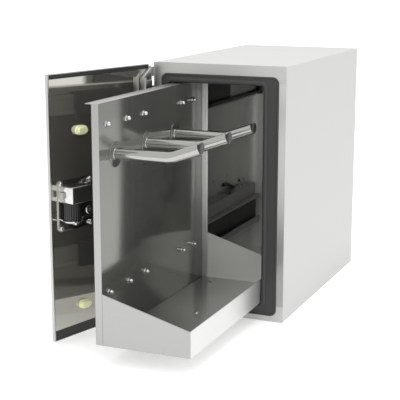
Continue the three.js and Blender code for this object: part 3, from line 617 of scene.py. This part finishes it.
def hook_pieces(number):
    low, high = box(f"bag_hook_{number}")
    cap_low, cap_high = box(f"hook_cap_{number}")
    centre_y = (low.y + high.y) / 2
    flange_radius = HOOK["flange"]
    base = Vector((low.x, centre_y, low.z + flange_radius))
    rise = math.radians(HOOK["rise"])
    along = Vector((math.cos(rise), 0, math.sin(rise)))
    corner = base + X * (HOOK["straight"] + HOOK["bend"] / 2)
    bend_start = base + X * HOOK["straight"]
    bend_end = corner + along * HOOK["bend"] / 2
    path = [base + X * 1.0]
    for i in range(13):
        t = i / 12
        path.append(bend_start * (1 - t) ** 2 + corner * 2 * t * (1 - t) + bend_end * t ** 2)
    cap_centre = (cap_low + cap_high) / 2
    tip = corner + along * ((cap_centre - corner).dot(along) - 2.8)
    path.append(tip)
    tube = sweep(circle(HOOK["radius"], 48), path, Y)
    weld = lathe([(0, 0.1), (11.8, 0.1), (11.8, 1.2), (11.4, 1.8), (11, 2.2), (0, 2.2)], base, X, 48)
    piece(
        f"hook_tube_{number}", merged(tube, weld), tube_steel, "carriage",
        [f"bag_hook_{number}"], angle=50,
    )
    edge = flange_radius
    disc = lathe([(0, 0), (edge, 0), (edge, 0.5), (edge - 0.4, 0.9), (edge - 1, 1), (0, 1)], base, X, 64)
    # The disc takes the side plate's finish, with its painted reflection on the faces along X
    piece(f"hook_flange_{number}", disc, plate_steel_painted_reflection, "carriage")
    rim = HOOK["radius"] + 0.2
    plug = lathe(
        [(0, GAP), (rim, GAP), (rim, 3.6), (rim - 0.6, 4.8), (rim - 1.8, 5.2), (rim - 3, 4.9), (0, 4.9)],
        tip, along, 48,
    )
    piece(f"hook_plug_{number}", plug, black_plastic, "carriage", [f"hook_cap_{number}"])


for number in HOOKS:
    hook_pieces(number)


# ---------------------------------------------------------------- wall fittings inside the chamber
def wall_fittings():
    bracket_low, bracket_high = box("slide_bracket_lower")
    upper_low, upper_high = box("slide_outer_upper")
    ledge = bracket_high.z
    rear = min(bracket_high.y, CAVITY["rear"]) - 22
    stem_x = (bracket_low.x + bracket_high.x) / 2
    stem = lathe([(0, 0), (6, 0), (6, 4), (3, 5), (3, 17), (0, 17)], (stem_x, rear - 32, ledge), Z, 24)
    bar_ends = [Vector((stem_x, y, ledge + 17)) for y in (rear - 46, rear - 18)]
    bar = sweep(circle(3.2, 20), bar_ends, Z)
    rim = lathe([(12.6, 0), (15.5, 0), (15.5, 1), (12.6, 1), (12.6, 0)], (-121, 70, ledge), Z, 40)
    piece("ledge_fittings", merged(stem, bar, rim), chrome, "cabinet")
    wall = -CAVITY["half"] + 1
    rod_points = [(0, 82, 214), (0, 104, 213), (0, 150, 196), (0, 196, 178), (0, 214, 168), (0, 222, 150)]
    path = [Vector((wall + 5 + x, y, z)) for x, y, z in rod_points]
    link_rod = sweep(circle(4, 20), smooth_path(path), X)
    clip = block((wall - 0.5, 176, 180), (wall + 10, 188, 192), 1.5)
    stop_low = (upper_low.x + 1, upper_high.y + GAP, upper_low.z - 5)
    stop_block = block(stop_low, (upper_high.x, upper_high.y + 12, upper_low.z + 16), 1.5)
    piece("wall_link", merged(link_rod, clip, stop_block), black_steel, "cabinet")
    places = ((160, 418), (204, 107), (120, 232), (30, 232))
    heads = [pan_head((wall - 0.8, y, z), 5, 3, X) for y, z in places]
    piece("wall_screws", merged(*heads), chrome, "cabinet")


def smooth_path(points, steps=6):
    """Catmull-Rom curve through the points."""
    ends = [points[0] * 2 - points[1], *points, points[-1] * 2 - points[-2]]
    path = []
    for a, b, c, d in zip(ends, ends[1:], ends[2:], ends[3:]):
        for i in range(steps):
            t = i / steps
            bend = (2 * a - 5 * b + 4 * c - d) * t ** 2
            twist = (3 * b - a - 3 * c + d) * t ** 3
            path.append(0.5 * (2 * b + (c - a) * t + bend + twist))
    return [*path, points[-1]]


wall_fittings()


# ---------------------------------------------------------------- press drive
SCREW_AXIS_X = 119


def screw_thread():
    low = box("lead_screw")[0]
    centre_z = box("guide_rod_lower")[0].z / 2 + box("guide_rod_upper")[1].z / 2
    axis = Vector((SCREW_AXIS_X, 0, centre_z))
    lead, steps, radius = 20, 20, 7
    y0, y1 = low.y + 10, box("end_plate_rear")[0].y - 2
    count = int((y1 - y0) / lead * steps)
    path = []
    for i in range(count + 1):
        a = 2 * math.pi * i / steps
        path.append(axis + Vector((radius * math.cos(a), y0 + lead * i / steps, radius * math.sin(a))))
    section = [(-0.3, -2), (-0.3, 2), (0.22, 1), (0.22, -1)]
    return sweep(section, path, Y)


piece("screw_thread", screw_thread(), chrome, "lead_screw")


# ---------------------------------------------------------------- door
def door_piece(name, bm, material, body, replaces=(), angle=35):
    return piece(name, bm, material, body, replaces, door_turn, angle)


def door_pads():
    for row in ROWS:
        low, high = door_box(f"door_bumper_{row}")
        foot = prism(rounded(low.x, low.z, high.x, high.z, 8.8, 10), low.y, low.y + 7, 1.2, 3)
        crown_line = rounded(low.x + 3, low.z + 3, high.x - 3, high.z - 3, 5.8, 10)
        crown = prism(crown_line, low.y + 6, high.y, 2.4, 4)
        door_piece(
            f"bumper_pad_{row}", merged(foot, crown), bumper_plastic, "door",
            [f"door_bumper_{row}"],
        )


door_pads()


def handle_axis():
    """Point on the spindle's line, in the door's own axes."""
    at = door_turn.inverted() @ Vector(joint("latch_turn")["pos_m"]) / MM
    return Vector((at.x, 0, at.z))


def merged_solid(first, second):
    """Two overlapping solids as one closed mesh."""
    return boolean("UNION", first, second)


def latch_pieces():
    low, high = door_box("latch_bracket")
    bolt_low, bolt_high = door_box("latch_bolt")
    roller_low, roller_high = door_box("latch_roller")
    roller = (roller_low + roller_high) / 2
    spindle = handle_axis()
    base, plate_thick, inset = low.y, 2.5, 7
    drum_radius, drum_half = 17.5, 17
    top, bottom = roller.z + drum_half, roller.z - drum_half
    left, right = roller.x - drum_radius - 4, roller.x + drum_radius + 1
    plate = prism(rounded(low.x, low.z, roller.x + 20, high.z, 8, 8), base, base + plate_thick, 0.7, 2)
    screws = [
        pan_head((x, base + plate_thick, z), 5, 4.2, Y)
        for x in (low.x + inset, roller.x + 20 - inset) for z in (low.z + inset, high.z - inset)
    ]
    hood = block((left - 17, base + 1, top + 1), (right, high.y, top + 35), 2.6, 4)
    guide = block((bolt_low.x - 16, base + 1, top + 1), (left - 16, base + 20, top + 35), 2, 3)
    hood = carve(
        merged_solid(hood, guide),
        block(
            (bolt_low.x - 12, bolt_low.y - GAP, bolt_low.z - 0.4),
            (right + 2, bolt_high.y + GAP, bolt_high.z + 0.4), 0,
        ),
    )
    foot = lathe([(0, -4), (drum_radius + 1.4, -4), (drum_radius + 2, -3.4), (drum_radius + 2, -1.6),
                  (drum_radius + 1.4, -1), (0, -1)], (roller.x, roller.y, bottom), Z, 56)
    web = block((roller.x - 12, base + 1, bottom - 4.5), (roller.x + 12, roller.y, bottom - 1.2), 0.8, 2)
    tab = block((roller.x - 15, base + 1, bottom - 12), (roller.x - 2, roller.y + 8, bottom - 9.5), 0.8, 2)
    tab_low = (roller.x - 4.5, base + 1, bottom - 12)
    tab_side = block(tab_low, (roller.x - 2, roller.y + 8, bottom - 3), 0.8, 2)
    door_piece(
        "latch_frame", merged(plate, hood, foot, web, tab, tab_side, *screws), chrome, "door",
        ["latch_bracket"],
    )
    case = block((spindle.x - 11, base + plate_thick + 0.1, bottom - 2), (left + 2, base + 15, top), 2.5, 3)
    bore = lathe([(0, -2), (9.2, -2), (9.2, 30), (0, 30)], (spindle.x, base, spindle.z), Y, 32)
    door_piece("latch_case", carve(case, bore), black_plastic, "door")
    ribs, per_rib, depth = 22, 8, 0.6
    outline = []
    for i in range(ribs * per_rib):
        a = 2 * math.pi * i / (ribs * per_rib)
        reach = drum_radius - depth + depth * math.cos(ribs * a)
        outline.append((reach * math.cos(a), reach * math.sin(a)))
    drum = prism(outline, -drum_half, drum_half, 0.6, 2)
    drum.transform(Matrix.Rotation(math.radians(90), 4, "X"))
    bmesh.ops.translate(drum, verts=drum.verts, vec=roller)
    axle_half = (roller_high.z - roller_low.z) / 2
    axle = lathe([(0, -axle_half), (3, -axle_half), (3, axle_half), (0, axle_half)], roller, Z, 24)
    door_piece(
        "latch_drum", merged(drum, axle), black_plastic, "latch_roller", ["latch_roller"], 20
    )


latch_pieces()


def turn_handle():
    low = door_box("latch_handle")[0]
    spindle = handle_axis()
    face = low.y + 24  # outside of the door
    start = spindle + Y * face
    rose = lathe([(0, 0), (22, 0), (22, -7), (20.5, -9.4), (18, -10), (0, -10)], start, Y, 64)
    neck = lathe([(0, -8), (12, -8), (11, -12), (12, -16), (0, -16)], start, Y, 48)
    grip = rounded(spindle.x - 11, low.z, spindle.x + 11, spindle.z + 14, 10.5, 10)
    lever = prism(grip, low.y, low.y + 11, 3, 4)
    shaft = lathe([(0, -5), (5, -5), (5, 18), (0, 18)], start, Y, 32)
    profile = [(0, 17.3), (8.5, 17.3), (8.5, 24), (7.4, 25.3), (3, 25.3), (2.4, 24), (0, 24)]
    boss = lathe(profile, start, Y, 40)
    return merged(rose, neck, lever, shaft, boss)


door_piece("turn_handle", turn_handle(), chrome, "latch_handle", ["latch_handle"])


def hinge_brackets():
    """Housing and gusset that tie each hinge leaf to the door's inner panel."""
    for row in ROWS:
        low, high = door_box(f"hinge_leaf_door_{row}")
        middle = (low.z + high.z) / 2
        face = door_box("door_inner_panel")[1].y + 2
        foot = block((10, face, middle - 20), (36, face + 12, middle + 4), 1.6, 3)
        cheek = block((33, face, middle - 26), (36.4, face + 16, middle + 10), 0.8, 2)
        outline = [(9, middle + 6), (38, middle + 6), (34, middle + 12), (14, middle + 28), (9, middle + 28)]
        gusset = prism(outline, face + 1, face + 9, 0.8, 2)
        door_piece(f"hinge_bracket_{row}", merged(foot, cheek, gusset), satin, "door")


hinge_brackets()

# ---------------------------------------------------------------- rear panel
def rear_details():
    low, high = box("rear_panel")
    slots = []
    for column in (-70, 0, 70):
        for step in range(6):
            z = 400 + 16 * step
            slot_line = rounded(column - 26, z, column + 26, z + 5, 2.4, 6)
            slots.append(prism(slot_line, high.y - 0.6, high.y + 0.5, 0.3, 1))
    piece("rear_louvres", merged(*slots), black_steel, "cabinet")
    heads = [
        pan_head((x, high.y - 0.1, z), 4.5, 2.4, Y)
        for x in (low.x + 12, 0, high.x - 12) for z in (low.z + 12, high.z / 2, high.z - 12)
    ]
    piece("rear_screws", merged(*heads), machined, "cabinet")


rear_details()

# ---------------------------------------------------------------- studio
bpy.ops.mesh.primitive_plane_add(size=40, location=(0, 0, -0.0005))
studio_floor = bpy.context.object
studio_floor.name = "studio_floor"
floor_paint = surface(
    "studio_floor", (0.9, 0.9, 0.9), 0.9, 0.0, (1, 1, 1), 3, tone=0.005, bump=0.0, specular=0.0
)
floor_shader = floor_paint.node_tree.nodes["Principled BSDF"]
floor_shader.inputs["Emission Color"].default_value = (1, 1, 1, 1)
floor_shader.inputs["Emission Strength"].default_value = 0.4
studio_floor.data.materials.append(floor_paint)

world = bpy.data.worlds.new("studio")
scene.world = world
world.use_nodes = True
background = world.node_tree.nodes["Background"]
background.inputs["Color"].default_value = (1, 1, 1, 1)
background.inputs["Strength"].default_value = 1.0
scene.view_settings.view_transform = "Standard"


def soft_light(name, location, target, size, power):
    data = bpy.data.lights.new(name, "AREA")
    data.shape = "SQUARE"
    data.size = size
    data.energy = power
    obj = bpy.data.objects.new(name, data)
    obj.location = location
    obj.rotation_euler = (Vector(target) - Vector(location)).to_track_quat("-Z", "Y").to_euler()
    scene.collection.objects.link(obj)


soft_light("overhead", (0.1, -0.2, 2.6), (0, -0.2, 0), 1.6, 20)
soft_light("front_fill", (0.2, -2.6, 1.8), (0, -0.3, 0.3), 1.5, 8)

CAMERA_PLACE = (0.87242, -2.39717, 0.75545)
CAMERA_YAW, CAMERA_PITCH = 23.2754, 12.2292  # degrees to the left, and down
camera_data = bpy.data.cameras.new("camera")
camera_data.lens = 98.51
camera_data.sensor_width = 36
camera = bpy.data.objects.new("camera", camera_data)
camera.location = CAMERA_PLACE
camera.rotation_euler = (math.radians(90 - CAMERA_PITCH), 0, math.radians(CAMERA_YAW))
scene.collection.objects.link(camera)
scene.camera = camera
